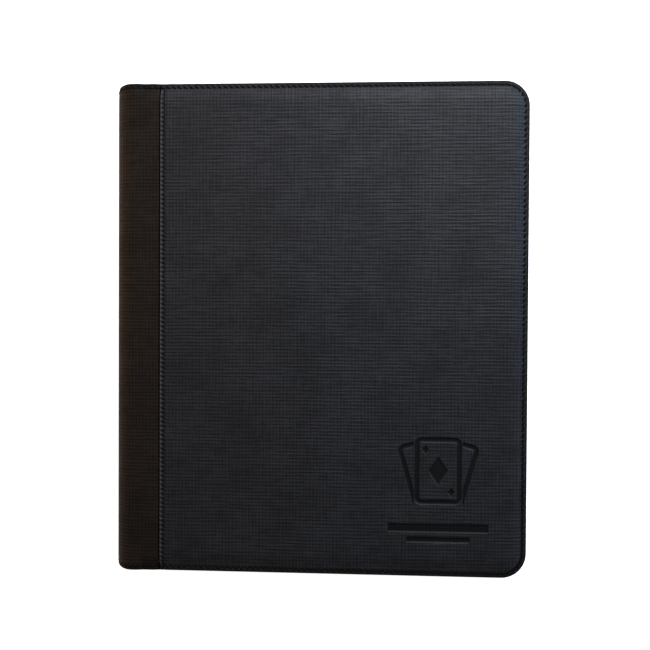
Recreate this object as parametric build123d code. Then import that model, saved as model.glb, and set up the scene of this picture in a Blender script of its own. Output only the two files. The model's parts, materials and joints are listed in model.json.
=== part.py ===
from build123d import *
import os
from math import cos, degrees, radians, sin, sqrt

# Side-loading nine-pocket card binder, lying closed on its back cover: spine at -X, top edge at +Y, front cover
# up. The origin is at the middle of the bottom of its box. All sizes are in millimetres.

# Card pockets of a leaf
POCKET_WIDTH = 68.0
POCKET_HEIGHT = 93.0
POCKET_COLUMNS = 3
POCKET_ROWS = 3
WELD_WIDTH = 4.0
GUTTER = 35.0  # outside of the spine to the first column of pockets
LEAF_FORE_MARGIN = 8.0
LEAF_END_MARGIN = 5.0

# Stack of leaves
LEAF_COUNT = 20
LEAF_PITCH = 0.97
STACK_CLEARANCE = 0.3
SHEET_THICKNESS = 0.2
POCKET_FILM = 0.15

# Cover lay-up, from the inside out
LINING = 0.5
BOARD = 2.0
FOAM = 1.6
LEATHER = 0.9
FORE_OVERHANG = 13.0  # cover past the leaves at the fore-edge
END_OVERHANG = 10.5  # cover past the leaves at top and bottom
CORNER_RADIUS = 16.0
TURNED_EDGE = 1.8  # thickness of the pressed edge around the padding
PADDING_INSET = 4.0
PADDING_ROLL = 8.0  # width of the slope where the padding thins out to the edge
PADDING_DROP = 1.5
CAVITY_WALL = 2.0
CORE_CLEARANCE = 0.1
LINING_INSET = 1.5

# Soft spine
SPINE_FLAT = 2.2  # flat middle between the two rounded edges
SPINE_STIFFENER = 1.1
SPINE_LINING = 0.4
SPINE_LINING_INSET = 3.0
STIFFENER_INSET = 6.0
STIFFENER_ANGLE = 38.0  # half of the arc that the stiffener covers at each edge of the spine
HINGE_ANGLE = 45.0  # where the wrap folds, up its rounded edge
HINGE_GAP = 0.3
TUCK = 6.0  # wrap under the front panel
BOARD_GAP = 1.5  # end of the spine's rounded edge to the boards
SEAM_STRIP = 16.0  # start of the boards to the folded edge of the front panel

# Binding of the leaves
BIND_CLEARANCE = 0.8  # spine lining to the hinge line of the outermost leaf
BIND_STEP = 0.45  # each next leaf towards the middle is bound further in
BIND_GAP = 0.45
RAIL_LIP = 0.3

# Thread
THREAD = 0.5
THREAD_RISE = 0.25
EDGE_STITCH_INSET = 2.7
SEAM_STITCH_INSET = 2.4

# Widest angle of the leaves when the binder lies open
OPEN_ANGLE = 180.0
LEAF_FAN_START = 0.5
LEAF_FAN_STEP = 1.2

# Sizes that follow
POCKETS_WIDE = POCKET_COLUMNS * POCKET_WIDTH + (POCKET_COLUMNS - 1) * WELD_WIDTH
POCKETS_HIGH = POCKET_ROWS * POCKET_HEIGHT + (POCKET_ROWS - 1) * WELD_WIDTH
WIDTH = GUTTER + POCKETS_WIDE + LEAF_FORE_MARGIN + FORE_OVERHANG
LEAF_HEIGHT = POCKETS_HIGH + 2 * LEAF_END_MARGIN
HEIGHT = LEAF_HEIGHT + 2 * END_OVERHANG
COVER = LINING + BOARD + FOAM + LEATHER
INTERIOR = LEAF_COUNT * LEAF_PITCH + 2 * STACK_CLEARANCE
THICKNESS = INTERIOR + 2 * COVER
SPINE_X = -WIDTH / 2
FORE_X = WIDTH / 2
MID_Z = THICKNESS / 2
LINING_Z = THICKNESS - COVER
BOARD_Z = LINING_Z + LINING
FOAM_Z = BOARD_Z + BOARD
WRAP_Z = THICKNESS - LEATHER
FLAP_Z = WRAP_Z - LEATHER
EDGE_Z = BOARD_Z + TURNED_EDGE
CAVITY_INSET = PADDING_INSET + CAVITY_WALL
CORE_INSET = CAVITY_INSET + CORE_CLEARANCE
TUCK_INSET = CORE_INSET + PADDING_ROLL
LEAF_FORE_X = FORE_X - FORE_OVERHANG
SPINE_RADIUS = (WRAP_Z - LEATHER - SPINE_FLAT) / 2
ARC_X = SPINE_X + SPINE_RADIUS
ARC_Z = WRAP_Z - SPINE_RADIUS
BOARD_X = ARC_X + BOARD_GAP
SEAM_X = BOARD_X + SEAM_STRIP
HALF_GAP_ANGLE = degrees(HINGE_GAP / SPINE_RADIUS / 2)
REACH = 3 * SPINE_RADIUS + THICKNESS
HINGE_X = ARC_X - SPINE_RADIUS * cos(radians(HINGE_ANGLE))
FRONT_HINGE_Z = ARC_Z + SPINE_RADIUS * sin(radians(HINGE_ANGLE))
BACK_HINGE_Z = THICKNESS - FRONT_HINGE_Z


def block(x0, x1, y0, y1, z0, z1):
    """Box between two corners."""
    middle = Pos((x0 + x1) / 2, (y0 + y1) / 2, (z0 + z1) / 2)
    return middle * Box(x1 - x0, y1 - y0, z1 - z0)


def plate(x0, inset, z0, z1):
    """Flat plate from x0 to the fore-edge, inset from the cover's outline, with its two fore corners round."""
    half = HEIGHT / 2 - inset
    slab = block(x0, FORE_X - inset, -half, half, z0, z1)
    corners = slab.edges().filter_by(Axis.Z).group_by(Axis.X)[-1]
    return fillet(corners, CORNER_RADIUS - inset)


def padding(x0, inset, z0, z1):
    """Plate whose top slopes down to its three free edges."""
    slab = plate(x0, inset, z0, z1)
    top = slab.faces().sort_by(Axis.Z)[-1]
    rims = top.edges()
    fold = rims.sort_by(Axis.X)[0]
    roll = min(PADDING_ROLL, 0.9 * (CORNER_RADIUS - inset))
    return chamfer([rim for rim in rims if rim != fold], roll, PADDING_DROP, reference=top)


def prism(points, length):
    """Closed outline of (x, z) points drawn out along Y, about the middle."""
    face = Plane.XZ * make_face(Polyline(*points, close=True))
    return extrude(face, amount=length / 2, both=True)


def spine_core(inset, length):
    """Everything inside the soft spine's surface, at a depth below it, with both its long edges round."""
    far = SPINE_X + REACH
    core = block(SPINE_X + inset, far, -length / 2, length / 2, THICKNESS - WRAP_Z + inset, WRAP_Z - inset)
    edges = core.edges().filter_by(Axis.Y).group_by(Axis.X)[0]
    return fillet(edges, SPINE_RADIUS - inset)


def spine_shell(outer, inner, length):
    """Layer of the spine between two depths."""
    return spine_core(outer, length) - spine_core(inner, length + 2)


def spine_sector(angle, length):
    """Space to the left of two radial planes, at an angle up each rounded edge of the spine."""
    run = REACH * cos(radians(angle))
    rise = REACH * sin(radians(angle))
    low = THICKNESS - ARC_Z
    points = [
        (ARC_X, ARC_Z),
        (ARC_X - run, ARC_Z + rise),
        (ARC_X - run, low - rise),
        (ARC_X, low),
    ]
    return prism(points, length)


def flap_sector(angle, length):
    """Space above the upper radial plane, as far as the seam."""
    run = REACH * cos(radians(angle))
    rise = REACH * sin(radians(angle))
    points = [
        (ARC_X, ARC_Z),
        (ARC_X - run, ARC_Z + rise),
        (SEAM_X, ARC_Z + rise),
        (SEAM_X, ARC_Z),
    ]
    return prism(points, length)


def wrap_threads():
    """Rows of thread across both ends of the spine, flush in the wrap."""
    ring = spine_shell(0, THREAD_RISE, THREAD)
    y = HEIGHT / 2 - EDGE_STITCH_INSET
    return Pos(0, y, 0) * ring + Pos(0, -y, 0) * ring


def seam_thread():
    """Row of thread along the folded edge of the front panel, flush in it."""
    x = SEAM_X + SEAM_STITCH_INSET
    half = HEIGHT / 2 - PADDING_INSET - PADDING_ROLL
    return block(x - THREAD / 2, x + THREAD / 2, -half, half, THICKNESS - THREAD_RISE, THICKNESS)


def edge_thread():
    """Row of thread around the cover's three free edges, and across its flap."""
    inset = EDGE_STITCH_INSET - THREAD / 2
    top = EDGE_Z + THREAD_RISE
    ring = plate(SEAM_X, inset, EDGE_Z, top) - plate(SEAM_X - 1, inset + THREAD, EDGE_Z - 1, top + 1)
    across = wrap_threads() & flap_sector(HINGE_ANGLE + HALF_GAP_ANGLE, HEIGHT)
    return Compound(ring.solids() + across.solids())


def skin():
    """Outer panel: a pressed edge all round and a raised, padded middle that ends in a fold at the seam."""
    edge = plate(SEAM_X, 0, BOARD_Z, EDGE_Z)
    raised = padding(SEAM_X, PADDING_INSET, BOARD_Z, THICKNESS)
    cavity = padding(SEAM_X - 1, CAVITY_INSET, BOARD_Z - 1, WRAP_Z)
    return edge + raised - cavity - seam_thread()


def wrap_flap():
    """The soft spine's skin past its fold: it goes under the front panel, and its ends close on the lining."""
    bend = spine_shell(0, LEATHER, HEIGHT) & flap_sector(HINGE_ANGLE + HALF_GAP_ANGLE, HEIGHT)
    half = HEIGHT / 2
    tucked = half - TUCK_INSET
    tongue = block(SEAM_X - 1, SEAM_X + TUCK, -tucked, tucked, FLAP_Z, WRAP_Z)
    flap = bend + tongue
    for y0, y1 in ((-half, -half + CAVITY_INSET), (half - CAVITY_INSET, half)):
        flap += block(BOARD_X, SEAM_X, y0, y1, BOARD_Z, FLAP_Z)
    return flap - wrap_threads()


def foam():
    """Padding sheet, stepped down where the flap lies on it."""
    tucked = HEIGHT / 2 - TUCK_INSET
    under_flap = block(BOARD_X, SEAM_X + TUCK + 1, -tucked, tucked, FOAM_Z, FLAP_Z)
    return padding(SEAM_X + TUCK + CORE_CLEARANCE, CORE_INSET, FOAM_Z, WRAP_Z) + under_flap


def board():
    """Stiff board of the cover."""
    return plate(BOARD_X, CORE_INSET, BOARD_Z, FOAM_Z)


def lining():
    """Inside cloth of the cover."""
    return plate(BOARD_X, LINING_INSET, LINING_Z, BOARD_Z)


def spine_wrap():
    """Outer skin of the spine between its two folds."""
    return (spine_shell(0, LEATHER, HEIGHT) & spine_sector(HINGE_ANGLE - HALF_GAP_ANGLE, HEIGHT)) - wrap_threads()


def spine_edge_thread():
    """Thread across the two ends of the spine's skin."""
    return wrap_threads() & spine_sector(HINGE_ANGLE - HALF_GAP_ANGLE, HEIGHT)


def spine_stiffener():
    """Curved strip inside the spine's skin."""
    length = HEIGHT - 2 * STIFFENER_INSET
    return spine_shell(LEATHER, LEATHER + SPINE_STIFFENER, length) & spine_sector(STIFFENER_ANGLE, HEIGHT)


def spine_lining():
    """Inside cloth of the spine."""
    depth = LEATHER + SPINE_STIFFENER
    length = HEIGHT - 2 * SPINE_LINING_INSET
    return spine_shell(depth, depth + SPINE_LINING, length) & spine_sector(STIFFENER_ANGLE, HEIGHT)


def leaf_height(number):
    """Height of a leaf's middle. Leaf 1 is next to the front cover."""
    return LINING_Z - STACK_CLEARANCE - LEAF_PITCH * (number - 0.5)


def hinge_x(number):
    """Where a leaf is bound: the outermost just clears the curved lining, and each next one is further in."""
    inner_radius = SPINE_RADIUS - LEATHER - SPINE_STIFFENER - SPINE_LINING
    lining_x = ARC_X - sqrt(inner_radius**2 - (leaf_height(1) - ARC_Z) ** 2)
    from_cover = min(number, LEAF_COUNT + 1 - number) - 1
    return lining_x + BIND_CLEARANCE + BIND_STEP * from_cover


def binding_rail():
    """Strip that holds the leaves, with a face that follows their hinge lines."""
    points = [(SPINE_X, leaf_height(1) + RAIL_LIP)]
    first = hinge_x(1) - BIND_GAP
    middle = LEAF_COUNT // 2
    points.append((first, leaf_height(1) + RAIL_LIP))
    for number in (middle, middle + 1):
        points.append((hinge_x(number) - BIND_GAP, leaf_height(number)))
    points.append((first, leaf_height(LEAF_COUNT) - RAIL_LIP))
    points.append((SPINE_X, leaf_height(LEAF_COUNT) - RAIL_LIP))
    inside = spine_core(LEATHER + SPINE_STIFFENER + SPINE_LINING, LEAF_HEIGHT + 2)
    return prism(points, LEAF_HEIGHT) & inside


def leaf_sheet(number):
    """Backing sheet of a leaf."""
    x0 = hinge_x(number) + BIND_GAP
    z = leaf_height(number)
    half = LEAF_HEIGHT / 2
    return block(x0, LEAF_FORE_X, -half, half, z - SHEET_THICKNESS / 2, z + SHEET_THICKNESS / 2)


def leaf_pockets(number):
    """Clear pocket films on both faces of a leaf, empty and flat, nine to a face."""
    films = []
    z = leaf_height(number)
    for column in range(POCKET_COLUMNS):
        x0 = SPINE_X + GUTTER + column * (POCKET_WIDTH + WELD_WIDTH)
        for row in range(POCKET_ROWS):
            y0 = -POCKETS_HIGH / 2 + row * (POCKET_HEIGHT + WELD_WIDTH)
            for z0 in (z + SHEET_THICKNESS / 2, z - SHEET_THICKNESS / 2 - POCKET_FILM):
                films.append(block(x0, x0 + POCKET_WIDTH, y0, y0 + POCKET_HEIGHT, z0, z0 + POCKET_FILM))
    return Compound([film.solid() for film in films])


def leaf_open_angle(number):
    """Angle of a leaf above the back cover when the binder lies open, half of the leaves to each side."""
    middle = LEAF_COUNT // 2
    if number > middle:
        return LEAF_FAN_START + LEAF_FAN_STEP * (LEAF_COUNT - number)
    return OPEN_ANGLE - LEAF_FAN_START - LEAF_FAN_STEP * (number - 1)


def main():
    os.makedirs("parts", exist_ok=True)
    middle = Plane.XY.offset(MID_Z)
    cover_pieces = {
        "skin": skin(),
        "foam": foam(),
        "board": board(),
        "lining": lining(),
        "wrap_flap": wrap_flap(),
        "edge_thread": edge_thread(),
        "seam_thread": seam_thread(),
    }
    for name, piece in cover_pieces.items():
        export_step(piece, "parts/front_" + name + ".step")
        export_step(mirror(piece, about=middle), "parts/back_" + name + ".step")
    export_step(spine_wrap(), "parts/spine_wrap.step")
    export_step(spine_stiffener(), "parts/spine_stiffener.step")
    export_step(spine_lining(), "parts/spine_lining.step")
    export_step(spine_edge_thread(), "parts/spine_edge_thread.step")
    export_step(binding_rail(), "parts/binding_rail.step")
    for number in range(1, LEAF_COUNT + 1):
        export_step(leaf_sheet(number), f"parts/leaf_sheet_{number:02d}.step")
        export_step(leaf_pockets(number), f"parts/leaf_pockets_{number:02d}.step")
    print("overall", WIDTH, HEIGHT, THICKNESS)
    print("hinge x", round(HINGE_X, 3), "front z", round(FRONT_HINGE_Z, 3), "back z", round(BACK_HINGE_Z, 3))


main()
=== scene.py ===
"""Looks of a side-loading card binder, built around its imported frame, in metres and the frame's axes."""

import json
import math

import bmesh
import bpy
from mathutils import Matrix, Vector


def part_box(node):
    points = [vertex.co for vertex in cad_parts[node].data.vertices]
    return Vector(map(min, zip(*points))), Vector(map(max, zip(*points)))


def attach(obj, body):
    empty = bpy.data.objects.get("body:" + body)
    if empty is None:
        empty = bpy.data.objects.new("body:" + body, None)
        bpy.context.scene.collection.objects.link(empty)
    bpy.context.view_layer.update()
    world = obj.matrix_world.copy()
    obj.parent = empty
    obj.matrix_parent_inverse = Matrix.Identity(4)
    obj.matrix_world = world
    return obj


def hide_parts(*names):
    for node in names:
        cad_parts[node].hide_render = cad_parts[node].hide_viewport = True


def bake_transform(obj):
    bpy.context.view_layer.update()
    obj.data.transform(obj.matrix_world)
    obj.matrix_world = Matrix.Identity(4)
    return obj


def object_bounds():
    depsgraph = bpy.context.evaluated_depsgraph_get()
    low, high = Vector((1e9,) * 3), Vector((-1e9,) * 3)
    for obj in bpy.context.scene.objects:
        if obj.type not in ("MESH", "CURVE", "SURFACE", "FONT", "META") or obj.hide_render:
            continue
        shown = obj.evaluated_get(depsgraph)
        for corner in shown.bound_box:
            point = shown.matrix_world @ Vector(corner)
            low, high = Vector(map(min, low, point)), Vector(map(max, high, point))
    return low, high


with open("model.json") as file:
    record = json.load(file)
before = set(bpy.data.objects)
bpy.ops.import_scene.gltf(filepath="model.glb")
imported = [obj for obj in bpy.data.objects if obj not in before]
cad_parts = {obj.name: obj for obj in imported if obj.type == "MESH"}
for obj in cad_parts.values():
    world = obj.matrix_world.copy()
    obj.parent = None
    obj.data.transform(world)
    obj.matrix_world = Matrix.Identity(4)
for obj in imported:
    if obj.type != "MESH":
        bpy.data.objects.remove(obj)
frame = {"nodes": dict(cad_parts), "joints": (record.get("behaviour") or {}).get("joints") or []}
cad_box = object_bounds()

MM = 0.001

# ----------------------------------------------------------------------------------------------------
# Places read from the frame

LOW = Vector(cad_box[0])
HIGH = Vector(cad_box[1])
SKIN_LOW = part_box("front_skin")[0]
FLAP_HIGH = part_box("front_wrap_flap")[1]
CORE_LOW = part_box("front_board")[0]
SPINE_X = LOW.x
FORE_X = HIGH.x
HALF_Y = HIGH.y
TOP_Z = HIGH.z
MID_Z = TOP_Z / 2
SEAM_X = SKIN_LOW.x
EDGE_LOW_Z = SKIN_LOW.z
WRAP_Z = FLAP_HIGH.z
BOARD_X = CORE_LOW.x
JOINTS = {joint["name"]: joint for joint in frame["joints"]}
FRONT_HINGE = Vector(JOINTS["front_cover_hinge"]["pos_m"])

# The wrap's rounded edge turns a quarter circle about a centre that its fold, halfway round, lies on.
FOLD_DEPTH = FRONT_HINGE.x - SPINE_X
ARC_R = FOLD_DEPTH / (1 - math.cos(math.radians(45)))
ARC_X = SPINE_X + ARC_R
ARC_Z = WRAP_Z - ARC_R

# ----------------------------------------------------------------------------------------------------
# Sizes of what is only seen

CORNER_R = 16 * MM
LEATHER = 0.9 * MM
EDGE_TOP = 1.8 * MM  # height of the pressed edge over its underside
CAVITY_INSET = 6 * MM
CAVITY_ROLL = 8 * MM
CAVITY_DROP = 1.5 * MM
PAD_START = 3.5 * MM
PAD_WIDTH = 11 * MM
STITCH_INSET = 2.6 * MM
STITCH_PITCH = 3.75 * MM
SEAM_BEAD = 1.5 * MM
SEAM_STITCH_INSET = 2.4 * MM
SEAM_PITCH = 2.95 * MM
FLAP_PRESS = 0.62  # how far the flap's ends are pressed, as a share of the panels' edges
FLAP_PRESS_WIDTH = 5 * MM  # beside the seam they go all the way down to the panel's edge

CAMERA_PLACE = (0.0487, 0.0146, 0.6672)
CAMERA_TURN = (-0.0182, 0.0695, 0.0054)
CAMERA_LENS = 55


# ----------------------------------------------------------------------------------------------------
# Small helpers


def smooth(value):
    """Smooth step from 0 to 1."""
    value = min(1.0, max(0.0, value))
    return value * value * (3 - 2 * value)


def dip(distance, width):
    """Round dip, 1 in the middle and 0 far off."""
    return math.exp(-((distance / width) ** 2))


def spread(start, end, step):
    """Evenly spaced values from start to end, about a step apart."""
    count = max(1, round(abs(end - start) / step))
    return [start + (end - start) * index / count for index in range(count + 1)]


def merged(*runs):
    """Sorted values of several runs, without near doubles."""
    values = []
    for value in sorted(value for run in runs for value in run):
        if not values or value - values[-1] > 0.02 * MM:
            values.append(value)
    return values


def outside_of(fine, coarse):
    """Coarse values that don't lie within the run of fine ones."""
    return [value for value in coarse if not fine or not fine[0] < value < fine[-1]]


def finished(name, mesh_builder, *materials):
    """Object from a bmesh, cleaned, with its faces outwards and smooth."""
    bmesh.ops.remove_doubles(mesh_builder, verts=mesh_builder.verts, dist=0.002 * MM)
    bmesh.ops.dissolve_degenerate(mesh_builder, edges=mesh_builder.edges, dist=0.001 * MM)
    bmesh.ops.recalc_face_normals(mesh_builder, faces=mesh_builder.faces)
    mesh = bpy.data.meshes.new(name)
    mesh_builder.to_mesh(mesh)
    mesh_builder.free()
    piece = bpy.data.objects.new(name, mesh)
    bpy.context.scene.collection.objects.link(piece)
    for material in materials:
        mesh.materials.append(material)
    mesh.shade_smooth()
    mesh.set_sharp_from_angle(angle=math.radians(50))
    return piece


# ----------------------------------------------------------------------------------------------------
# Shader groups: each puts out masks, values or heights only


def new_group(name, inputs, outputs):
    """Shader group with named float or vector sockets."""
    tree = bpy.data.node_groups.new(name, "ShaderNodeTree")
    for label, kind, value in inputs:
        socket = tree.interface.new_socket(label, in_out="INPUT", socket_type=kind)
        if value is not None:
            socket.default_value = value
    for label, kind in outputs:
        tree.interface.new_socket(label, in_out="OUTPUT", socket_type=kind)
    return tree, tree.nodes.new("NodeGroupInput"), tree.nodes.new("NodeGroupOutput")


class Wiring:
    """Adds nodes to a tree and joins them."""

    def __init__(self, tree):
        self.tree = tree

    def node(self, kind, **settings):
        made = self.tree.nodes.new(kind)
        for name, value in settings.items():
            setattr(made, name, value)
        return made

    def feed(self, socket, value):
        if isinstance(value, bpy.types.NodeSocket):
            self.tree.links.new(value, socket)
        else:
            socket.default_value = value

    def math(self, operation, first, second=0.0, third=0.0, clamp=False):
        made = self.node("ShaderNodeMath", operation=operation, use_clamp=clamp)
        for socket, value in zip(made.inputs, (first, second, third)):
            self.feed(socket, value)
        return made.outputs[0]

    def ramp(self, value, low, high, start=0.0, end=1.0):
        made = self.node("ShaderNodeMapRange", interpolation_type="SMOOTHSTEP")
        for socket, entry in zip(made.inputs, (value, low, high, start, end)):
            self.feed(socket, entry)
        return made.outputs[0]

    def noise(self, vector, scale, detail=2.0, roughness=0.5):
        made = self.node("ShaderNodeTexNoise")
        self.feed(made.inputs["Vector"], vector)
        self.feed(made.inputs["Scale"], scale)
        self.feed(made.inputs["Detail"], detail)
        self.feed(made.inputs["Roughness"], roughness)
        return made.outputs["Fac"]

    def stretch(self, vector, scale):
        made = self.node("ShaderNodeMapping")
        self.feed(made.inputs["Vector"], vector)
        made.inputs["Scale"].default_value = scale
        return made.outputs["Vector"]

    def colours(self, factor, first, second):
        made = self.node("ShaderNodeMix", data_type="RGBA")
        self.feed(made.inputs[0], factor)
        self.feed(made.inputs[6], first)
        self.feed(made.inputs[7], second)
        return made.outputs[2]


def crosshatch_group():
    """Linen-like emboss: uneven ribs across and along the cover, with a fine grain between them."""
    tree, start, end = new_group(
        "crosshatch emboss",
        [
            ("Place", "NodeSocketVector", None),
            ("Rib", "NodeSocketFloat", 2.2 * MM),
            ("Along", "NodeSocketFloat", 0.5),
        ],
        [("Height", "NodeSocketFloat"), ("Rib mask", "NodeSocketFloat")],
    )
    w = Wiring(tree)
    place = start.outputs["Place"]
    parts = w.node("ShaderNodeSeparateXYZ")
    w.feed(parts.inputs[0], place)
    wander = w.math("MULTIPLY", w.math("SUBTRACT", w.noise(place, 25.0, 1.0), 0.5), 1.2 * MM)

    def ribs(axis_value, streak_scale, fine_scale):
        moved = w.math("ADD", axis_value, wander)
        turns = w.math("MULTIPLY", w.math("DIVIDE", moved, start.outputs["Rib"]), 2 * math.pi)
        wave = w.math("MULTIPLY_ADD", w.math("SINE", turns), 0.5, 0.5)
        fine = w.math("MULTIPLY_ADD", w.math("SINE", w.math("MULTIPLY", turns, 1.57)), 0.5, 0.5)
        streak = w.ramp(w.noise(w.stretch(place, streak_scale), 1.0, 2.0, 0.6), 0.36, 0.64)
        strength = w.ramp(w.noise(w.stretch(place, fine_scale), 1.0, 1.0), 0.3, 0.7, 0.66, 1.0)
        both = w.math("MULTIPLY_ADD", wave, 0.62, w.math("MULTIPLY", fine, 0.12))
        return w.math("MULTIPLY", w.math("MULTIPLY_ADD", streak, 0.42, both), strength)

    across = ribs(parts.outputs["Y"], (70, 700, 70), (30, 50, 30))
    along = ribs(parts.outputs["X"], (700, 70, 70), (50, 25, 30))
    mixed = w.node("ShaderNodeMix")
    w.feed(mixed.inputs[0], start.outputs["Along"])
    w.feed(mixed.inputs[2], across)
    w.feed(mixed.inputs[3], along)
    grain = w.noise(place, 1300.0, 3.0, 0.65)
    height = w.math("MULTIPLY_ADD", grain, 0.45, mixed.outputs[0])
    pebbles = w.node("ShaderNodeTexVoronoi", feature="SMOOTH_F1")
    w.feed(pebbles.inputs["Vector"], place)
    pebbles.inputs["Scale"].default_value = 2300
    w.feed(end.inputs["Height"], w.math("MULTIPLY_ADD", pebbles.outputs["Distance"], -0.35, height))
    w.feed(end.inputs["Rib mask"], w.ramp(height, 0.4, 1.0))
    return tree


def blotch_group():
    """Slow unevenness of a pressed surface, and sparse rubbed spots."""
    tree, start, end = new_group(
        "slow unevenness",
        [("Place", "NodeSocketVector", None)],
        [("Cloud", "NodeSocketFloat"), ("Rubbed", "NodeSocketFloat")],
    )
    w = Wiring(tree)
    place = start.outputs["Place"]
    w.feed(end.inputs["Cloud"], w.noise(place, 14.0, 3.0, 0.55))
    rubbed = w.math("MULTIPLY", w.ramp(w.noise(place, 45.0, 4.0, 0.7), 0.6, 0.75), w.noise(place, 900.0, 2.0))
    w.feed(end.inputs["Rubbed"], rubbed)
    return tree


def pucker_group():
    """Puckers of leather between stitches, and a mask for painted shadow at them. Along counts stitches, Off
    is the distance from their line.
    """
    tree, start, end = new_group(
        "stitch puckers",
        [
            ("Along", "NodeSocketFloat", 0.0),
            ("Off", "NodeSocketFloat", 0.0),
            ("Reach", "NodeSocketFloat", 1.5 * MM),
        ],
        [("Height", "NodeSocketFloat"), ("Shade", "NodeSocketFloat"), ("Between", "NodeSocketFloat")],
    )
    w = Wiring(tree)
    lean = w.math("MULTIPLY", w.math("DIVIDE", start.outputs["Off"], start.outputs["Reach"]), 0.3)
    turns = w.math("MULTIPLY", w.math("ADD", start.outputs["Along"], lean), 2 * math.pi)
    wave = w.math("MULTIPLY_ADD", w.math("COSINE", turns), 0.5, 0.5)
    reach = w.math("DIVIDE", w.math("ABSOLUTE", start.outputs["Off"]), start.outputs["Reach"])
    near = w.ramp(reach, 0.0, 1.0, 1.0, 0.0)
    w.feed(end.inputs["Height"], w.math("MULTIPLY", w.math("SUBTRACT", 1.0, wave), near))
    # Shade masks the painted shadow at each stitch.
    w.feed(end.inputs["Shade"], w.math("MULTIPLY", w.ramp(wave, 0.03, 0.35), w.ramp(near, 0.0, 0.5)))
    w.feed(end.inputs["Between"], w.math("SUBTRACT", 1.0, wave))
    return tree


CROSSHATCH = crosshatch_group()
BLOTCHES = blotch_group()
PUCKERS = pucker_group()


# ----------------------------------------------------------------------------------------------------
# Materials

# Painted highlight: the seam's folded edge is painted lighter and bluer where it catches the light, most
# between the stitches.
FOLD_HIGHLIGHT_TONE = (0.060, 0.075, 0.108, 1)  # the folded edge at the seam, which catches the light
# Painted shadow of the stitches on the leather around them.
STITCH_SHADOW_TONE = (0.0012, 0.0012, 0.0014, 1)
# Painted shade in the lines of the pressed mark.
PRESSED_SHADE_TONE = (0.0018, 0.0018, 0.0022, 1)
# Painted shadow in the groove where the spine's flap meets the panel's folded edge.
GROOVE_SHADOW_TONE = (0.0012, 0.0007, 0.0006, 1)
RIM_TONE = (0.0080, 0.0052, 0.0031, 1)

def new_material(name, colour, roughness, **sockets):
    """Material with a Principled BSDF, its wiring and its object coordinates."""
    material = bpy.data.materials.new(name)
    material.use_nodes = True
    w = Wiring(material.node_tree)
    shader = material.node_tree.nodes["Principled BSDF"]
    shader.inputs["Base Color"].default_value = (*colour, 1)
    shader.inputs["Roughness"].default_value = roughness
    for label, value in sockets.items():
        shader.inputs[label.replace("_", " ")].default_value = value
    place = w.node("ShaderNodeTexCoord").outputs["Object"]
    return material, w, shader, place


def use_group(w, tree, **sockets):
    """Places a shader group in a material."""
    made = w.node("ShaderNodeGroup", node_tree=tree)
    for label, value in sockets.items():
        w.feed(made.inputs[label.replace("_", " ")], value)
    return made.outputs


def add_bump(w, shader, height, distance, strength=1.0, under=None):
    """Bump node on a shader's normal, over another bump if one is given."""
    made = w.node("ShaderNodeBump")
    made.inputs["Distance"].default_value = distance
    made.inputs["Strength"].default_value = strength
    w.feed(made.inputs["Height"], height)
    if under is not None:
        w.feed(made.inputs["Normal"], under)
    w.feed(shader.inputs["Normal"], made.outputs[0])
    return made.outputs[0]


def attribute_value(w, name):
    """Value of a mesh attribute."""
    return w.node("ShaderNodeAttribute", attribute_name=name).outputs["Fac"]


def leatherette(name, valley, ridge, emboss_depth, along, roughness, gloss):
    """Embossed leatherette: crosshatch, slow clouds, puckers at its stitches, pressed and worn places, with
    painted shadow at its stitches and in the seam's groove, painted shade in the pressed mark and a painted
    highlight on the folded edge.
    """
    material, w, shader, place = new_material(name, ridge, roughness, Specular_IOR_Level=gloss)
    hatch = use_group(w, CROSSHATCH, Place=place, Along=along)
    slow = use_group(w, BLOTCHES, Place=place)
    stitches = use_group(
        w, PUCKERS, Along=attribute_value(w, "stitch_count"), Off=attribute_value(w, "stitch_off")
    )
    pressed = attribute_value(w, "pressed")
    rim = attribute_value(w, "rim")
    fold = attribute_value(w, "fold")
    groove_shadow = attribute_value(w, "groove_shadow")
    plain = w.math("SUBTRACT", 1.0, w.math("MAXIMUM", pressed, fold), clamp=True)
    mask = w.math("MULTIPLY", hatch["Rib mask"], plain)
    colour = w.colours(mask, (*valley, 1), (*ridge, 1))
    cloud = w.ramp(slow["Cloud"], 0.4, 0.7, 0.0, 0.06)
    cloudy = w.colours(cloud, colour, tuple(c * 0.5 for c in ridge) + (1,))
    worn = w.colours(w.math("MULTIPLY", slow["Rubbed"], 0.3), cloudy, tuple(c * 2.2 for c in ridge) + (1,))
    # Painted highlight on the folded edge, strongest between the stitches.
    lit = w.math("MULTIPLY", fold, w.math("MULTIPLY_ADD", stitches["Between"], 0.85, 0.15))
    folded = w.colours(lit, worn, FOLD_HIGHLIGHT_TONE)
    # Painted shadow at the stitches.
    shaded = w.colours(w.math("MULTIPLY", stitches["Shade"], 0.9), folded, STITCH_SHADOW_TONE)
    # Painted shade in the pressed mark.
    press_shaded = w.colours(w.math("MULTIPLY", pressed, 0.9), shaded, PRESSED_SHADE_TONE)
    # Painted shadow in the groove beside the seam.
    groove_shadowed = w.colours(groove_shadow, press_shaded, GROOVE_SHADOW_TONE)
    w.feed(shader.inputs["Base Color"], w.colours(rim, groove_shadowed, RIM_TONE))
    dull = w.math("MAXIMUM", rim, groove_shadow)
    rough = w.math("MULTIPLY_ADD", dull, 0.3, w.math("MULTIPLY_ADD", mask, -0.14, roughness + 0.08))
    w.feed(shader.inputs["Roughness"], w.math("MULTIPLY_ADD", slow["Cloud"], 0.03, rough))
    height = w.math("MULTIPLY", hatch["Height"], w.math("MULTIPLY_ADD", plain, 0.85, 0.15))
    height = w.math("MULTIPLY", height, w.math("SUBTRACT", 1.0, rim))
    emboss = add_bump(w, shader, height, emboss_depth)
    add_bump(w, shader, stitches["Height"], 0.5 * MM, 0.9, emboss)
    return material


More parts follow.
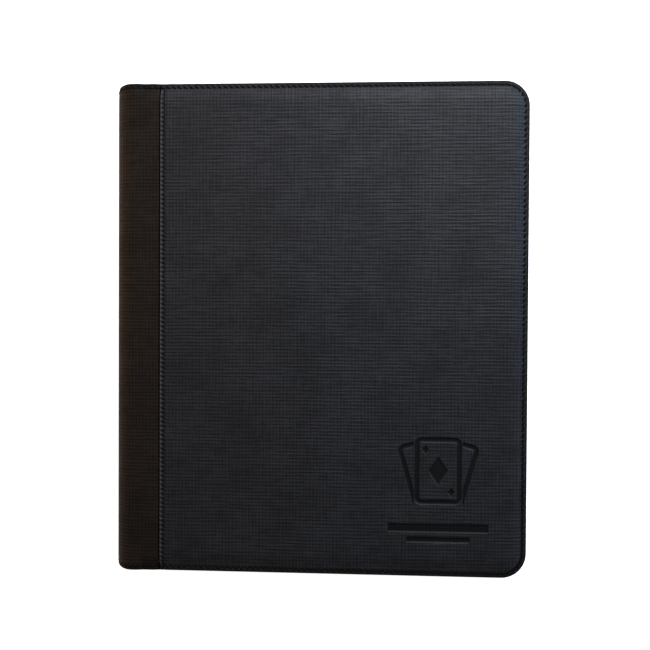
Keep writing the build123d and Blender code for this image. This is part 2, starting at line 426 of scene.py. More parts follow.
def thread_material():
    """Waxed black thread, with its twist."""
    material, w, shader, place = new_material("thread", (0.003, 0.003, 0.0032), 0.75, Specular_IOR_Level=0.12)
    twist = w.node("ShaderNodeTexWave", wave_type="BANDS", bands_direction="DIAGONAL")
    w.feed(twist.inputs["Vector"], place)
    twist.inputs["Scale"].default_value = 900
    twist.inputs["Distortion"].default_value = 1.5
    add_bump(w, shader, twist.outputs["Fac"], 0.06 * MM)
    tone = w.colours(twist.outputs["Fac"], (0.0012, 0.0012, 0.0013, 1), (0.0045, 0.0045, 0.0050, 1))
    w.feed(shader.inputs["Base Color"], tone)
    return material


def cloth_material(name, dark, light):
    """Plain-woven lining cloth."""
    material, w, shader, place = new_material(name, light, 0.85, Sheen_Weight=0.25, Sheen_Roughness=0.5)
    weave = use_group(w, CROSSHATCH, Place=place, Rib=0.8 * MM, Along=0.5)
    fuzz = w.noise(place, 1800.0, 3.0, 0.7)
    mask = w.math("MULTIPLY_ADD", fuzz, 0.5, w.math("MULTIPLY", weave["Rib mask"], 0.5))
    w.feed(shader.inputs["Base Color"], w.colours(mask, (*dark, 1), (*light, 1)))
    add_bump(w, shader, w.math("ADD", weave["Height"], fuzz), 0.12 * MM)
    return material


def board_material():
    """Grey board with flecks."""
    material, w, shader, place = new_material("grey board", (0.3, 0.28, 0.24), 0.9)
    flecks = w.noise(place, 700.0, 4.0, 0.7)
    w.feed(shader.inputs["Base Color"], w.colours(flecks, (0.20, 0.18, 0.15, 1), (0.42, 0.39, 0.33, 1)))
    add_bump(w, shader, flecks, 0.1 * MM)
    return material


def foam_material():
    """Open-cell foam."""
    material, w, shader, place = new_material("foam", (0.06, 0.06, 0.06), 0.95)
    cells = w.node("ShaderNodeTexVoronoi")
    w.feed(cells.inputs["Vector"], place)
    cells.inputs["Scale"].default_value = 1200
    tone = w.colours(cells.outputs["Distance"], (0.02, 0.02, 0.02, 1), (0.1, 0.1, 0.1, 1))
    w.feed(shader.inputs["Base Color"], tone)
    add_bump(w, shader, cells.outputs["Distance"], 0.3 * MM)
    return material


def plastic_material(name, dark, light, roughness, grain_depth):
    """Moulded or rolled plastic with a fine grain and slow smears in its gloss."""
    material, w, shader, place = new_material(name, light, roughness)
    slow = use_group(w, BLOTCHES, Place=place)
    grain = w.noise(place, 1500.0, 2.0)
    w.feed(shader.inputs["Base Color"], w.colours(slow["Cloud"], (*dark, 1), (*light, 1)))
    w.feed(shader.inputs["Roughness"], w.math("MULTIPLY_ADD", slow["Cloud"], 0.2, roughness - 0.1))
    add_bump(w, shader, grain, grain_depth)
    return material


def film_material():
    """Clear pocket film, with faint handling smears and a slow ripple."""
    material, w, shader, place = new_material(
        "clear film", (0.93, 0.95, 0.96), 0.1, Transmission_Weight=1.0, IOR=1.46
    )
    ripple = w.noise(w.stretch(place, (1.0, 1.6, 1.0)), 38.0, 2.0)
    smears = w.ramp(w.noise(place, 70.0, 4.0, 0.65), 0.45, 0.8, 0.06, 0.24)
    w.feed(shader.inputs["Roughness"], smears)
    add_bump(w, shader, ripple, 0.3 * MM, 0.4)
    return material


COVER = leatherette(
    "cover leatherette", (0.0060, 0.0060, 0.0068), (0.0224, 0.0227, 0.0252), 0.22 * MM, 0.38, 0.50, 0.2
)
SPINE = leatherette(
    "spine leatherette", (0.0092, 0.0070, 0.0054), (0.0200, 0.0151, 0.0116), 0.18 * MM, 0.4, 0.64, 0.06
)
THREAD = thread_material()
LINING = cloth_material("lining cloth", (0.006, 0.006, 0.007), (0.030, 0.030, 0.033))
BOARD = board_material()
FOAM = foam_material()
RAIL = plastic_material("rail plastic", (0.010, 0.010, 0.010), (0.022, 0.022, 0.022), 0.5, 0.05 * MM)
BACKING = plastic_material("leaf backing", (0.008, 0.008, 0.009), (0.020, 0.020, 0.022), 0.42, 0.04 * MM)
FILM = film_material()


# ----------------------------------------------------------------------------------------------------
# Pressed mark: three plain cards in a fan over two plain bars

MARK_X = 77.5 * MM
MARK_Y = -93.5 * MM
MARK_DEPTH = 0.65 * MM
MARK_EDGE = 0.3 * MM
MARK_REACH = (34 * MM, 46 * MM)
CARD_LINE = 2.8 * MM
CARD_GAP = 2.0 * MM
CARD_HALF = (13.5 * MM, 20 * MM)
CARD_ROUND = 3 * MM
CARD_TURN = math.radians(16)
CARD_PIVOT = -23 * MM
CARD_UP = 3 * MM
PIPS = (
    (0.0, 3 * MM, 6.2 * MM, 9.0 * MM),
    (-8.2 * MM, 16.6 * MM, 2.0 * MM, 2.8 * MM),
    (8.2 * MM, -10.6 * MM, 2.0 * MM, 2.8 * MM),
)
BARS = ((-33.6 * MM, 32 * MM, 2.6 * MM), (-41.2 * MM, 20 * MM, 1.6 * MM))


def card_distance(x, y, turn):
    """Distance outside a rounded card that is turned about a point under its middle."""
    across = x * math.cos(turn) + (y - CARD_PIVOT) * math.sin(turn)
    up = (y - CARD_PIVOT) * math.cos(turn) - x * math.sin(turn) + CARD_PIVOT
    over_x = abs(across) - CARD_HALF[0] + CARD_ROUND
    over_y = abs(up) - CARD_HALF[1] + CARD_ROUND
    return math.hypot(max(over_x, 0.0), max(over_y, 0.0)) + min(max(over_x, over_y), 0.0) - CARD_ROUND


def press_inside(distance):
    """How far a shape is pressed in, at a distance outside its outline: 1 within it and 0 outside."""
    return 1 - smooth((distance + MARK_EDGE) / (2 * MARK_EDGE))


def mark_press(x, y):
    """How far the mark is pressed in at a place on the cover, from 0 to 1."""
    x -= MARK_X
    y -= MARK_Y
    if abs(x) > MARK_REACH[0] or abs(y) > MARK_REACH[1]:
        return 0.0
    beside = smooth((abs(x) - CARD_HALF[0] - CARD_GAP) / MARK_EDGE)
    press = 0.0
    for turn, seen in ((0.0, 1.0), (CARD_TURN, beside), (-CARD_TURN, beside)):
        press = max(press, seen * press_inside(abs(card_distance(x, y - CARD_UP, turn)) - CARD_LINE / 2))
    for pip_x, pip_y, half_x, half_y in PIPS:
        size = abs(x - pip_x) / half_x + abs(y - pip_y) / half_y
        press = max(press, press_inside((size - 1) * half_x * half_y / math.hypot(half_x, half_y)))
    for bar_y, half_x, half_y in BARS:
        press = max(press, press_inside(max(abs(x) - half_x, abs(y - bar_y) - half_y)))
    return press


# ----------------------------------------------------------------------------------------------------
# Cover panels


LEATHER_MASKS = ("pressed", "rim", "fold", "groove_shadow", "stitch_count", "stitch_off")


def pad_height(inset):
    """Height of a panel's outside at a distance in from its edge, above the pressed edge's underside."""
    full = TOP_Z - EDGE_LOW_Z
    rise = min(1.0, max(0.0, (inset - PAD_START) / PAD_WIDTH))
    crown = (full - EDGE_TOP) * (1 - (1 - rise) ** 2.6)
    return EDGE_TOP + crown - 0.28 * MM * dip(inset - STITCH_INSET, 0.55 * MM)


def seam_drop(along):
    """How far a panel's outside lies lower near its folded edge, at a distance from the fold."""
    fold = 0.0
    if along < SEAM_BEAD:
        fold = 0.5 * (SEAM_BEAD - math.sqrt(SEAM_BEAD**2 - (SEAM_BEAD - along) ** 2))
    return min(0.72 * MM, fold) + 0.5 * MM * dip(along - SEAM_STITCH_INSET, 0.65 * MM)


def slack(x, y):
    """Slow unevenness of padded leather, always inwards."""
    waves = math.sin(31 * x + 1.3) * math.sin(23 * y + 0.4) + 0.6 * math.sin(57 * x - 41 * y + 2.0)
    return 0.07 * MM * (1.6 + waves) / 3.2


def panel_outline(inset, xs, ys, turns):
    """Outline of a panel at a distance in from its edge, from one end of its seam round to the other."""
    radius = CORNER_R - inset
    side = HALF_Y - CORNER_R
    middle_x = FORE_X - CORNER_R
    points = [(x, -HALF_Y + inset) for x in xs]
    points += [(middle_x + radius * math.sin(a), -side - radius * math.cos(a)) for a in turns]
    points += [(FORE_X - inset, y) for y in ys]
    points += [(middle_x + radius * math.cos(a), side + radius * math.sin(a)) for a in turns]
    points += [(x, HALF_Y - inset) for x in reversed(xs)]
    return points


# Millimetres in from a panel's edge, and from its seam, where its section has points
PAD_STEPS = (
    1.3, 1.8, 2.15, 2.4, 2.7, 3.0, 3.3, 3.7, 4.1, 4.6, 5.2, 5.9, 6.7, 7.6, 8.6, 9.7, 11.0, 12.5, 14.2
)
SEAM_STEPS = (0, 0.04, 0.12, 0.25, 0.45, 0.7, 1.0, 1.3, 1.6, 1.9, 2.2, 2.6, 3.0, 3.4, 4.2)
INNER_RINGS = 5  # rings of a panel's section up to the underside of its turned edge


def edge_profile():
    """Inset and height of a panel's section, from its cavity round its turned edge to its flat top."""
    ceiling = WRAP_Z - EDGE_LOW_Z
    profile = [(CAVITY_INSET + CAVITY_ROLL, ceiling), (CAVITY_INSET, ceiling - CAVITY_DROP)]
    profile += [(CAVITY_INSET, 0.0), (1.3 * MM, 0.0)]
    middle = EDGE_TOP / 2
    for step in range(1, 8):
        angle = math.radians(-90 + step * 180 / 8)
        profile.append((middle * (1 - math.cos(angle)) + 0.02 * MM, middle * (1 + math.sin(angle))))
    profile += [(inset * MM, pad_height(inset * MM)) for inset in PAD_STEPS]
    profile.append((CORNER_R, pad_height(CORNER_R)))
    return profile


def stitch_arc(xs, ys, turns):
    """Number of stitches passed along the edge's stitch line, at each point of a panel's outline."""
    path = panel_outline(STITCH_INSET, xs, ys, turns)
    lengths = [0.0]
    for (ax, ay), (bx, by) in zip(path, path[1:]):
        lengths.append(lengths[-1] + math.hypot(bx - ax, by - ay))
    pitch = lengths[-1] / round(lengths[-1] / STITCH_PITCH)
    return [length / pitch for length in lengths]


def cover_panel(name, front):
    """Padded leatherette panel with a turned edge, a folded seam edge and, in front, the pressed mark."""
    fine_x, fine_y = [], []
    if front:
        fine_x = spread(MARK_X - MARK_REACH[0], MARK_X + MARK_REACH[0], 0.4 * MM)
        fine_y = spread(MARK_Y - 44 * MM, MARK_Y + 26 * MM, 0.4 * MM)
    seam_steps = [SEAM_X + step * MM for step in SEAM_STEPS]
    middle_x = FORE_X - CORNER_R
    side = HALF_Y - CORNER_R
    coarse_x = outside_of(fine_x, spread(SEAM_X + 6 * MM, middle_x, 3 * MM))
    coarse_y = outside_of(fine_y, spread(-side, side, 3.5 * MM))
    xs = [x for x in merged(seam_steps, coarse_x, fine_x, [middle_x]) if x <= middle_x]
    ys = merged(coarse_y, fine_y)
    turns = [math.radians(90 * step / 18) for step in range(1, 18)]
    profile = edge_profile()
    counts = stitch_arc(xs, ys, turns)

    made = bmesh.new()
    layers = {label: made.verts.layers.float.new(label) for label in LEATHER_MASKS}

    def vertex(x, y, height, inset, count, outside=True):
        along = x - SEAM_X
        press = mark_press(x, y) if front and outside else 0.0
        drop = (seam_drop(along) if outside else 0.0) + MARK_DEPTH * press
        if inset > 8 * MM:
            drop += slack(x, y) * smooth((inset - 8 * MM) / (8 * MM))
        vert = made.verts.new((x, y, EDGE_LOW_Z + height - drop))
        # Mask of the pressed mark, which also carries its painted shade.
        vert[layers["pressed"]] = press
        vert[layers["rim"]] = 1 - smooth((inset - 0.9 * MM) / (1.3 * MM))
        # Mask of the folded edge, which carries its painted highlight.
        if inset > STITCH_INSET and outside:
            vert[layers["fold"]] = smooth(along / (0.3 * MM)) * (1 - smooth((along - 1.2 * MM) / (0.5 * MM)))
        near_seam = abs(along - SEAM_STITCH_INSET) < inset - STITCH_INSET
        vert[layers["stitch_count"]] = (y + HALF_Y) / SEAM_PITCH if near_seam else count
        vert[layers["stitch_off"]] = along - SEAM_STITCH_INSET if near_seam else inset - STITCH_INSET
        return vert

    rings = []
    for step, (inset, height) in enumerate(profile):
        path = panel_outline(inset, xs, ys, turns)
        outside = step > INNER_RINGS
        rings.append([vertex(x, y, height, inset, count, outside) for (x, y), count in zip(path, counts)])
    for inner, outer in zip(rings, rings[1:]):
        for a, b, c, d in zip(inner, inner[1:], outer[1:], outer):
            made.faces.new((a, b, c, d))
    full = pad_height(CORNER_R)
    grid = [[vertex(x, y, full, CORNER_R + min(x - SEAM_X, 20 * MM), 0.0) for y in ys] for x in xs]
    for column, following in zip(grid, grid[1:]):
        for a, b, c, d in zip(column, column[1:], following[1:], following):
            made.faces.new((a, d, c, b))
    made.faces.new(rings[0])
    seam_face = [ring[0] for ring in rings] + grid[0][1:-1] + [ring[-1] for ring in reversed(rings)]
    made.faces.new(seam_face)
    if not front:
        for vert in made.verts:
            vert.co.z = TOP_Z - vert.co.z
    return finished(name, made, COVER)


# ----------------------------------------------------------------------------------------------------
# Soft spine, in two halves that meet behind the middle of the leaves


GROOVE_DEPTH = 0.28 * MM
GROOVE_WIDTH = 1.1 * MM
SPINE_ROUND = 1.8 * MM  # how far the spine's ends draw in at its outer edge
SPINE_ROUND_WIDTH = 10 * MM


FOLD_START = 58  # degrees round the edge's arc, from the middle of the spine, where a cover's leather ends
FOLD_END = 39  # and where the spine's begins


def spine_reach(x):
    """Distance of the spine's ends from its middle, at a place across it."""
    outer = max(0.0, 1 - (x - SPINE_X) / SPINE_ROUND_WIDTH)
    return HALF_Y - SPINE_ROUND * outer**2


def spine_section():
    """Place, outward direction and share of flatness of the spine's section, from the seam to the middle."""
    section = []
    seam = [SEAM_X - step * MM for step in (-0.3, 0.05, 0.4, 0.8, 1.2, 1.6, 2.1)]
    for x in seam + spread(SEAM_X - 2.8 * MM, ARC_X, 1.2 * MM):
        z = WRAP_Z - GROOVE_DEPTH * dip(x - SEAM_X, GROOVE_WIDTH)
        near_seam = smooth(1 - (SEAM_X - x) / FLAP_PRESS_WIDTH)
        press = FLAP_PRESS + (1.05 - FLAP_PRESS) * near_seam
        section.append((x, z, 0.0, 1.0, press * smooth((x - ARC_X - 1 * MM) / (6 * MM))))
    bend = spread(FOLD_START - 1.5, FOLD_END + 1.5, 1.5)
    for degrees in spread(86, FOLD_START, 5) + bend + spread(FOLD_END, 0, 4):
        angle = math.radians(degrees)
        nx, nz = -math.cos(angle), math.sin(angle)
        section.append((ARC_X + ARC_R * nx, ARC_Z + ARC_R * nz, nx, nz, 0.0))
    section.append((SPINE_X, MID_Z, -1.0, 0.0, 0.0))
    return section


def end_drop(inset, flatness):
    """How far the spine's outside lies in near its ends: a turned edge, a stitched dip and a soft roll."""
    radius = 0.7 * MM
    drop = 0.3 * MM * (1 - smooth(inset / (6 * MM))) + 0.16 * MM * dip(inset - STITCH_INSET, 0.5 * MM)
    if inset < radius:
        drop += radius - math.sqrt(radius**2 - (radius - inset) ** 2)
    pressed = TOP_Z - EDGE_LOW_Z - pad_height(max(inset, 1 * MM))
    return max(drop, pressed * flatness + drop * max(0.0, 1 - flatness))


def spine_half(name, front):
    """Curved skin of half of the spine, from the seam to the middle line."""
    ends = [0, 0.08, 0.2, 0.4, 0.7, 1.1, 1.6, 2.0, 2.35, 2.7, 3.05, 3.5, 4.2, 5.2, 6.5, 8.0, 10.0, 13.0]
    half = [HALF_Y - end * MM for end in ends]
    ys = merged([-y for y in half], spread(-HALF_Y + 16 * MM, HALF_Y - 16 * MM, 9 * MM), half)
    section = spine_section()
    made = bmesh.new()
    layers = {label: made.verts.layers.float.new(label) for label in LEATHER_MASKS}
    travelled = 0.0
    columns = []
    last = None
    for x, z, nx, nz, flatness in section:
        if last:
            travelled += math.hypot(x - last[0], z - last[1])
        last = (x, z)
        column = []
        for under in (False, True):
            row = []
            for y in ys:
                inset = HALF_Y - abs(y)
                drop = end_drop(inset, flatness)
                depth = max(LEATHER, drop + 0.55 * MM) if under else drop
                end = y * spine_reach(x) / HALF_Y
                vert = made.verts.new((x - nx * depth, end, z - nz * depth))
                vert[layers["rim"]] = 0.0 if under else 1 - smooth((inset - 0.5 * MM) / (1.1 * MM))
                # Mask of the painted shadow in the groove beside the seam.
                vert[layers["groove_shadow"]] = 1 - smooth((SEAM_X - x - 0.5 * MM) / (0.9 * MM))
                vert[layers["stitch_count"]] = travelled / STITCH_PITCH
                vert[layers["stitch_off"]] = inset - STITCH_INSET
                row.append(vert)
            column.append(row)
        columns.append(column)
    for (outer, inner), (next_outer, next_inner) in zip(columns, columns[1:]):
        for a, b, c, d in zip(outer, outer[1:], next_outer[1:], next_outer):
            made.faces.new((a, b, c, d))
        for a, b, c, d in zip(inner, inner[1:], next_inner[1:], next_inner):
            made.faces.new((d, c, b, a))
        for at in (0, -1):
            made.faces.new((outer[at], next_outer[at], next_inner[at], inner[at]))
    for outer, inner in (columns[0], columns[-1]):
        for a, b, c, d in zip(outer, outer[1:], inner[1:], inner):
            made.faces.new((a, b, c, d))
    if not front:
        for vert in made.verts:
            vert.co.z = TOP_Z - vert.co.z
    return finished(name, made, SPINE)


def end_bands(name, front):
    """Turned ends under the flap, down to the lining."""
    made = bmesh.new()
    for side in (-1, 1):
        y0 = side * (HALF_Y - CAVITY_INSET)
        y1 = side * (HALF_Y - 0.35 * MM)
        low = EDGE_LOW_Z
        high = EDGE_LOW_Z + EDGE_TOP - 1.0 * MM
        cube = bmesh.ops.create_cube(made, size=1.0)["verts"]
        for vert in cube:
            vert.co.x = BOARD_X if vert.co.x < 0 else SEAM_X
            vert.co.y = y0 if vert.co.y * side < 0 else y1
            vert.co.z = low if vert.co.z < 0 else high
        edges = {edge for vert in cube for edge in vert.link_edges}
        outer = [edge for edge in edges if all(abs(vert.co.y - y1) < 1e-6 for vert in edge.verts)]
        bmesh.ops.bevel(made, geom=outer, offset=0.35 * MM, segments=3, affect="EDGES")
    if not front:
        for vert in made.verts:
            vert.co.z = TOP_Z - vert.co.z
    return finished(name, made, SPINE)


# ----------------------------------------------------------------------------------------------------
# Stitches


def stitch_tree():
    """Geometry nodes that lay leaning stitches along a line, each on its surface."""
    tree = bpy.data.node_groups.new("stitch run", "GeometryNodeTree")
    inputs = [
        ("Line", "NodeSocketGeometry"),
        ("Pitch", "NodeSocketFloat"),
        ("Length", "NodeSocketFloat"),
        ("Width", "NodeSocketFloat"),
        ("Lean", "NodeSocketFloat"),
        ("Material", "NodeSocketMaterial"),
    ]
    sockets = {n: tree.interface.new_socket(n, in_out="INPUT", socket_type=k) for n, k in inputs}
    tree.interface.new_socket("Stitches", in_out="OUTPUT", socket_type="NodeSocketGeometry")
    nodes, link = tree.nodes, tree.links.new
    start, end = nodes.new("NodeGroupInput"), nodes.new("NodeGroupOutput")
    to_curve = nodes.new("GeometryNodeMeshToCurve")
    resample = nodes.new("GeometryNodeResampleCurve")
    resample.mode = "LENGTH"
    link(start.outputs["Line"], to_curve.inputs["Mesh"])
    link(to_curve.outputs["Curve"], resample.inputs["Curve"])
    link(start.outputs["Pitch"], resample.inputs["Length"])
    ball = nodes.new("GeometryNodeMeshUVSphere")
    ball.inputs["Segments"].default_value = 8
    ball.inputs["Rings"].default_value = 6
    ball.inputs["Radius"].default_value = 0.5
    lay = nodes.new("FunctionNodeAxesToRotation")
    lay.primary_axis = "Z"
    lay.secondary_axis = "X"
    out = nodes.new("GeometryNodeInputNamedAttribute")
    out.data_type = "FLOAT_VECTOR"
    out.inputs["Name"].default_value = "out"
    tangent = nodes.new("GeometryNodeInputTangent")
    link(out.outputs["Attribute"], lay.inputs["Primary Axis"])
    link(tangent.outputs[0], lay.inputs["Secondary Axis"])
    turn = nodes.new("ShaderNodeCombineXYZ")
    link(start.outputs["Lean"], turn.inputs["Z"])
    lean = nodes.new("FunctionNodeRotateRotation")
    lean.rotation_space = "LOCAL"
    link(lay.outputs[0], lean.inputs["Rotation"])
    link(turn.outputs[0], lean.inputs["Rotate By"])
    size = nodes.new("ShaderNodeCombineXYZ")
    link(start.outputs["Length"], size.inputs["X"])
    link(start.outputs["Width"], size.inputs["Y"])
    link(start.outputs["Width"], size.inputs["Z"])
    place = nodes.new("GeometryNodeInstanceOnPoints")
    link(resample.outputs[0], place.inputs["Points"])
    link(ball.outputs["Mesh"], place.inputs["Instance"])
    link(lean.outputs[0], place.inputs["Rotation"])
    link(size.outputs[0], place.inputs["Scale"])
    real = nodes.new("GeometryNodeRealizeInstances")
    paint = nodes.new("GeometryNodeSetMaterial")
    link(place.outputs[0], real.inputs[0])
    link(real.outputs[0], paint.inputs["Geometry"])
    link(start.outputs["Material"], paint.inputs["Material"])
    link(paint.outputs[0], end.inputs[0])
    return tree, {name: socket.identifier for name, socket in sockets.items()}


STITCH_TREE, STITCH_SOCKETS = stitch_tree()


def stitch_run(name, lines, pitch, length, width, lean):
    """Stitches along lines of (place, outward direction) pairs, as one plain mesh."""
    mesh = bpy.data.meshes.new(name)
    places = [place for line in lines for place, _ in line]
    edges = []
    first = 0
    for line in lines:
        edges += [(index, index + 1) for index in range(first, first + len(line) - 1)]
        first += len(line)
    mesh.from_pydata(places, edges, [])
    out = mesh.attributes.new("out", "FLOAT_VECTOR", "POINT")
    out.data.foreach_set("vector", [value for line in lines for _, way in line for value in way])
    piece = bpy.data.objects.new(name, mesh)
    bpy.context.scene.collection.objects.link(piece)
    modifier = piece.modifiers.new("stitches", "NODES")
    modifier.node_group = STITCH_TREE
    values = {"Pitch": pitch, "Length": length, "Width": width, "Lean": lean, "Material": THREAD}
    for label, value in values.items():
        modifier[STITCH_SOCKETS[label]] = value
    evaluated = piece.evaluated_get(bpy.context.evaluated_depsgraph_get())
    plain = bpy.data.meshes.new_from_object(evaluated)
    piece.modifiers.remove(modifier)
    piece.data = plain
    bpy.data.meshes.remove(mesh)
    plain.name = name
    plain.shade_smooth()
    return piece


def faced(line, front):
    """A line of stitches on the front, or the same line on the back."""
    if front:
        return line
    return [((x, y, TOP_Z - z), (nx, ny, -nz)) for (x, y, z), (nx, ny, nz) in line]


def edge_stitches(name, front):
    """Leaning stitches round a panel's three free edges."""
    xs = spread(SEAM_X + 1.2 * MM, FORE_X - CORNER_R, 4 * MM)
    ys = spread(-HALF_Y + CORNER_R, HALF_Y - CORNER_R, 4 * MM)
    turns = [math.radians(90 * step / 18) for step in range(1, 18)]
    z = EDGE_LOW_Z + pad_height(STITCH_INSET) + 0.05 * MM
    line = [((x, y, z), (0, 0, 1)) for x, y in panel_outline(STITCH_INSET, xs, ys, turns)]
    lean = math.radians(-28 if front else 28)
    return stitch_run(name, [faced(line, front)], STITCH_PITCH, 3.7 * MM, 1.3 * MM, lean)


def seam_stitches(name, front):
    """Straight stitches along a panel's folded edge."""
    x = SEAM_X + SEAM_STITCH_INSET
    low = EDGE_LOW_Z - seam_drop(SEAM_STITCH_INSET) + 0.02 * MM
    reach = HALF_Y - STITCH_INSET - 1.6 * MM
    line = [((x, y, low + pad_height(HALF_Y - abs(y))), (0, 0, 1)) for y in spread(-reach, reach, 1.5 * MM)]
    lean = math.radians(-14 if front else 14)
    return stitch_run(name, [faced(line, front)], SEAM_PITCH, 2.2 * MM, 1.05 * MM, lean)


def spine_stitches(name, front):
    """Stitches across both ends of half of the spine."""
    lines = []
    for side in (-1, 1):
        line = []
        for x, z, nx, nz, flatness in spine_section()[2:]:
            depth = end_drop(STITCH_INSET, flatness) - 0.05 * MM
            y = side * spine_reach(x) * (1 - STITCH_INSET / HALF_Y)
            line.append(((x - nx * depth, y, z - nz * depth), (nx, 0, nz)))
        lines.append(faced(line, front))
    lean = math.radians(28 if front else -28)
    return stitch_run(name, lines, STITCH_PITCH * 0.9, 3.0 * MM, 1.0 * MM, lean)


# ----------------------------------------------------------------------------------------------------
# Leaves


def pocket_pads(name, node):
    """Clear pockets of one leaf: each is welded on three sides, slightly full, and open towards the spine."""
    made = bmesh.new()
    source = frame["nodes"][node].data
    copy = bmesh.new()
    copy.from_mesh(source)
    bmesh.ops.remove_doubles(copy, verts=copy.verts, dist=0.001 * MM)
    sheet_low, sheet_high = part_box(node.replace("pockets", "sheet"))
    middle = (sheet_low.z + sheet_high.z) / 2
    seen = set()
    for vert in copy.verts:
        if vert in seen:
            continue
        island, queue = [], [vert]
        seen.add(vert)
        while queue:
            at = queue.pop()
            island.append(at.co)
            for edge in at.link_edges:
                other = edge.other_vert(at)
                if other not in seen:
                    seen.add(other)
                    queue.append(other)
        lows = [min(co[axis] for co in island) for axis in range(3)]
        highs = [max(co[axis] for co in island) for axis in range(3)]
        up = 1 if lows[2] > middle else -1
        base = lows[2] if up > 0 else highs[2]
        add_pocket(made, lows, highs, base, up * (highs[2] - lows[2]))
    copy.free()
    return finished(name, made, FILM)


def add_pocket(made, lows, highs, base, rise):
    """One pocket's film as a low closed pillow between two corners."""
    steps = [0.0, 0.02, 0.07, 0.25, 0.5, 0.75, 0.93, 0.98, 1.0]
    top, bottom = [], []
    for u in steps:
        top_row, bottom_row = [], []
        x = lows[0] + (highs[0] - lows[0]) * u
        for v in steps:
            y = lows[1] + (highs[1] - lows[1]) * v
            weld = min(1 - u, v, 1 - v)
            lift = 0.12 + 0.88 * smooth(weld / 0.09)
            if u < 0.01:
                lift = max(lift, 0.55)
            top_row.append(made.verts.new((x, y, base + rise * lift)))
            bottom_row.append(made.verts.new((x, y, base)))
        top.append(top_row)
        bottom.append(bottom_row)
    last = len(steps) - 1
    for i in range(last):
        for j in range(last):
            made.faces.new((top[i][j], top[i + 1][j], top[i + 1][j + 1], top[i][j + 1]))
            made.faces.new((bottom[i][j], bottom[i][j + 1], bottom[i + 1][j + 1], bottom[i + 1][j]))
        for row in (0, last):
            made.faces.new((top[i][row], top[i + 1][row], bottom[i + 1][row], bottom[i][row]))
            made.faces.new((top[row][i], top[row][i + 1], bottom[row][i + 1], bottom[row][i]))


# ----------------------------------------------------------------------------------------------------
# Camera, light and floor


def add_camera():
    """Camera above the binder, turned a little towards its spine."""
    data = bpy.data.cameras.new("camera")
    data.lens = CAMERA_LENS
    data.dof.use_dof = False
    camera = bpy.data.objects.new("camera", data)
    camera.location = CAMERA_PLACE
    camera.rotation_euler = CAMERA_TURN
    bpy.context.scene.collection.objects.link(camera)
    bpy.context.scene.camera = camera


def add_light(name, place, aim, size, power, colour):
    """Soft rectangular light, aimed at a point."""
    data = bpy.data.lights.new(name, "AREA")
    data.shape = "RECTANGLE"
    data.size, data.size_y = size
    data.energy = power
    data.color = colour
    light = bpy.data.objects.new(name, data)
    light.location = place
    light.rotation_euler = (Vector(aim) - Vector(place)).to_track_quat("-Z", "Y").to_euler()
    bpy.context.scene.collection.objects.link(light)


def add_surroundings():
    """Room that is pale low down and dim overhead."""
    world = bpy.data.worlds.new("studio")
    world.use_nodes = True
    w = Wiring(world.node_tree)
    backdrop = world.node_tree.nodes["Background"]
    backdrop.inputs[0].default_value = (1.0, 0.98, 0.98, 1)
    height = w.node("ShaderNodeSeparateXYZ")
    w.feed(height.inputs[0], w.node("ShaderNodeTexCoord").outputs["Generated"])
    w.feed(backdrop.inputs[1], w.ramp(height.outputs["Z"], 0.08, 0.30, 0.95, 0.06))
    bpy.context.scene.world = world


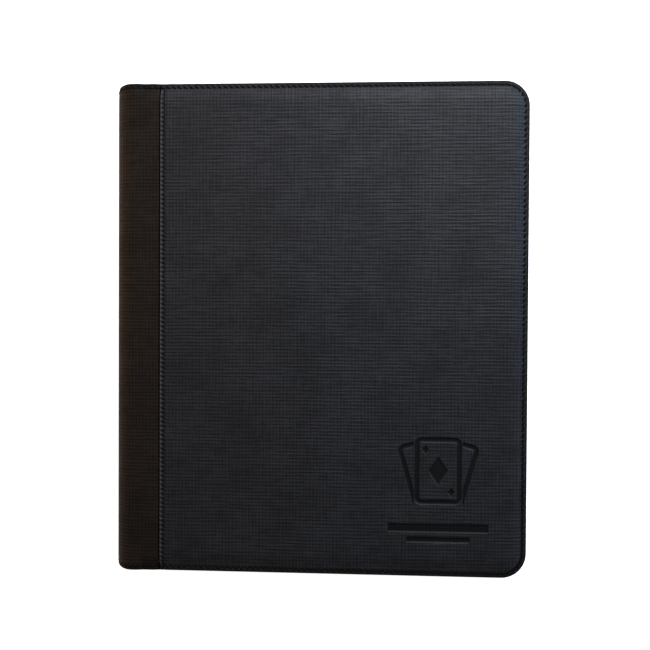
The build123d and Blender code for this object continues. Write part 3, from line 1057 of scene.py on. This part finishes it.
def add_studio():
    """Pale floor lit from within, dim surroundings and soft lights."""
    made = bmesh.new()
    bmesh.ops.create_grid(made, x_segments=2, y_segments=2, size=6.0)
    bmesh.ops.translate(made, verts=made.verts, vec=(0, 0, -0.2 * MM))
    floor_material, w, shader, place = new_material("floor", (0.92, 0.92, 0.92), 0.9, Specular_IOR_Level=0.0)
    tone = w.colours(w.noise(place, 3.0), (0.90, 0.90, 0.90, 1), (0.94, 0.94, 0.94, 1))
    w.feed(shader.inputs["Base Color"], tone)
    shader.inputs["Emission Color"].default_value = (1, 1, 1, 1)
    shader.inputs["Emission Strength"].default_value = 0.97
    finished("floor", made, floor_material)
    add_surroundings()
    add_light("cool key", (0.20, 0.52, 0.56), (0.02, 0.03, 0.03), (0.5, 0.5), 7.3, (0.91, 0.94, 1.0))
    add_light("blue side", (0.70, 0.45, 0.34), (0.12, 0.10, 0.03), (0.3, 0.5), 3.6, (0.36, 0.62, 1.0))
    add_light("warm side", (-0.60, 0.16, 0.06), (-0.13, 0.06, 0.02), (0.3, 0.5), 2.5, (1.0, 0.48, 0.12))
    bpy.context.scene.view_settings.view_transform = "Standard"


# ----------------------------------------------------------------------------------------------------
# Putting it together


def paint(node, material, slot):
    """Gives a CAD node its finish."""
    piece = frame["nodes"][node]
    piece.data.materials.clear()
    piece.data.materials.append(material)


def place_piece(piece, body, slot, *nodes):
    """A rigid piece on a body, in place of CAD nodes."""
    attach(piece, body)
    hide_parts(*nodes)


def bend_piece(piece, front, slot, *nodes):
    """A soft piece, with its place baked into its mesh, in place of CAD nodes."""
    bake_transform(piece)
    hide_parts(*nodes)


def build_covers():
    for side in ("front", "back"):
        front = side == "front"
        body = side + "_cover"
        panel = cover_panel(side + "_panel", front)
        place_piece(panel, body, "cover_leatherette", side + "_skin")
        place_piece(end_bands(side + "_flap_ends", front), body, "spine_leatherette", side + "_wrap_flap")
        place_piece(edge_stitches(side + "_edge_stitches", front), body, "thread", side + "_edge_thread")
        place_piece(seam_stitches(side + "_seam_stitches", front), body, "thread", side + "_seam_thread")
        half = spine_half("spine_" + side + "_half", front)
        bend_piece(half, front, "spine_leatherette", side + "_wrap_flap", "spine_wrap")
        bend_piece(spine_stitches("spine_" + side + "_stitches", front), front, "thread", "spine_edge_thread")
        paint(side + "_lining", LINING, "lining_cloth")
        paint(side + "_board", BOARD, "board")
        paint(side + "_foam", FOAM, "foam")
    paint("spine_lining", LINING, "lining_cloth")
    paint("spine_stiffener", BOARD, "board")
    paint("binding_rail", RAIL, "rail_plastic")


def build_leaves():
    for node in sorted(frame["nodes"]):
        if node.startswith("leaf_sheet_"):
            number = node[-2:]
            paint(node, BACKING, "leaf_backing")
            pads = pocket_pads("leaf_films_" + number, "leaf_pockets_" + number)
            place_piece(pads, "leaf_" + number, "pocket_film", "leaf_pockets_" + number)


add_camera()
add_studio()
build_covers()
build_leaves()
